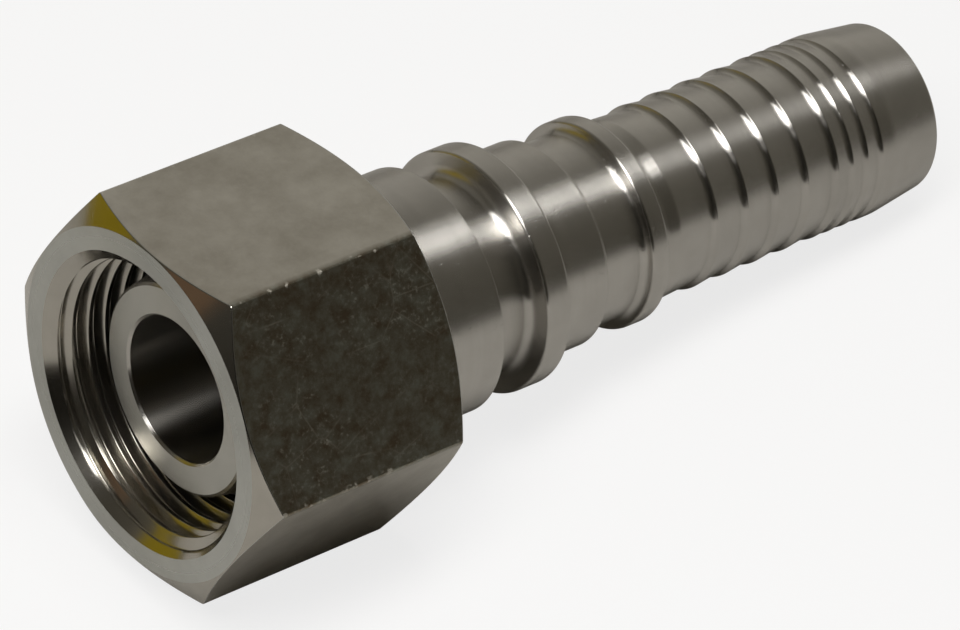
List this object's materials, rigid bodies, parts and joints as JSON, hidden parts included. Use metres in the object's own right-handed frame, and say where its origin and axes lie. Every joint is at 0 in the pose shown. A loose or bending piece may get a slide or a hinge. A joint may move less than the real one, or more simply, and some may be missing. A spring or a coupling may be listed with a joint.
{
  "type": "hydraulic hose fitting",
  "caption": "Swivel hose fitting with a hexagonal union nut, a cone end with a seal ring, a ferrule lock groove and a barbed tail for crimped hydraulic hose.",
  "frame": {"origin": "centre of the cone end's front face, on the axis of the through bore", "axes": "+X along the axis, from the nut's mouth to the hose tail; +Z is the outward normal of the nut's upper flat, opposite the flat it lies on"},
  "size_m": [0.0944, 0.0416, 0.036],
  "materials": {
    "turned_steel": "bright turned steel with fine lathe marks",
    "nut_steel": "drawn hexagon steel, satin flats with small nicks",
    "seal_rubber": "smooth black rubber"
  },
  "bodies": {
    "insert": {"hose_insert": "turned_steel", "cone_seal": "seal_rubber"},
    "nut": {"swivel_nut": "nut_steel"}
  },
  "joints": [
    {"name": "nut_swivel", "type": "hinge", "parent": "insert", "child": "nut", "pos_m": [0, 0, 0], "axis": [1, 0, 0], "continuous": true}
  ]
}
